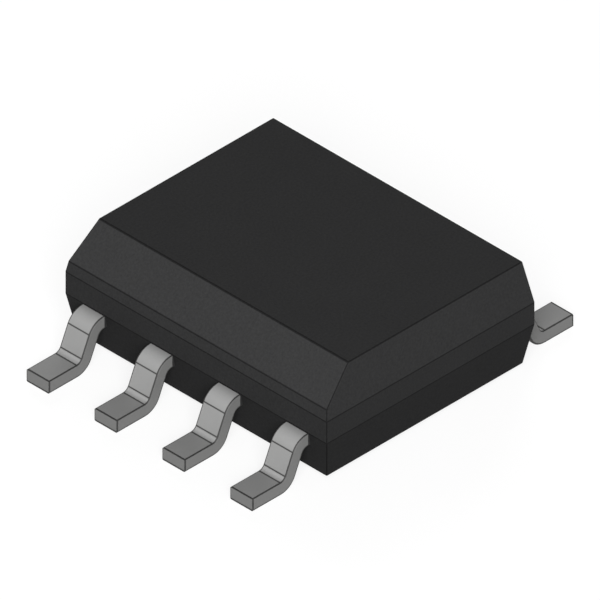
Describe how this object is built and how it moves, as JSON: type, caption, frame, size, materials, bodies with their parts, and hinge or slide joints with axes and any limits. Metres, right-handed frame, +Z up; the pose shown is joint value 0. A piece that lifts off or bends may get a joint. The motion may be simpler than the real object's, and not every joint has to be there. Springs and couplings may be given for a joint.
{
  "type": "integrated circuit",
  "caption": "Small-outline surface-mount chip: a bevelled black moulded body with gull-wing leads along both long sides, cast round a die on its leadframe",
  "frame": {"origin": "centre of the seating plane, which the undersides of the feet touch", "axes": "+Z up out of the board; +X across the rows of leads, away from the bevelled side with leads 1 to 4; +Y along the rows, from lead 4 towards lead 1"},
  "size_m": [0.006, 0.005, 0.0018],
  "materials": {
    "mould_compound": "matte, fine spark-eroded mould texture",
    "tin_plating": "matte tin over copper alloy, satin where the forming tool has pressed it",
    "frame_copper": "bare rolled copper alloy",
    "silver_epoxy": "matte silver-filled adhesive",
    "silicon": "polished silicon with bright metal bond pads",
    "gold": "bright drawn gold wire"
  },
  "bodies": {
    "root": {"bond_wire_1": "gold", "bond_wire_2": "gold", "bond_wire_3": "gold", "bond_wire_4": "gold", "bond_wire_5": "gold", "bond_wire_6": "gold", "bond_wire_7": "gold", "bond_wire_8": "gold", "die_attach": "silver_epoxy", "die_paddle": "frame_copper", "lead_1": "tin_plating", "lead_2": "tin_plating", "lead_3": "tin_plating", "lead_4": "tin_plating", "lead_5": "tin_plating", "lead_6": "tin_plating", "lead_7": "tin_plating", "lead_8": "tin_plating", "mould_body": "mould_compound", "silicon_die": "silicon"}
  },
  "joints": []
}
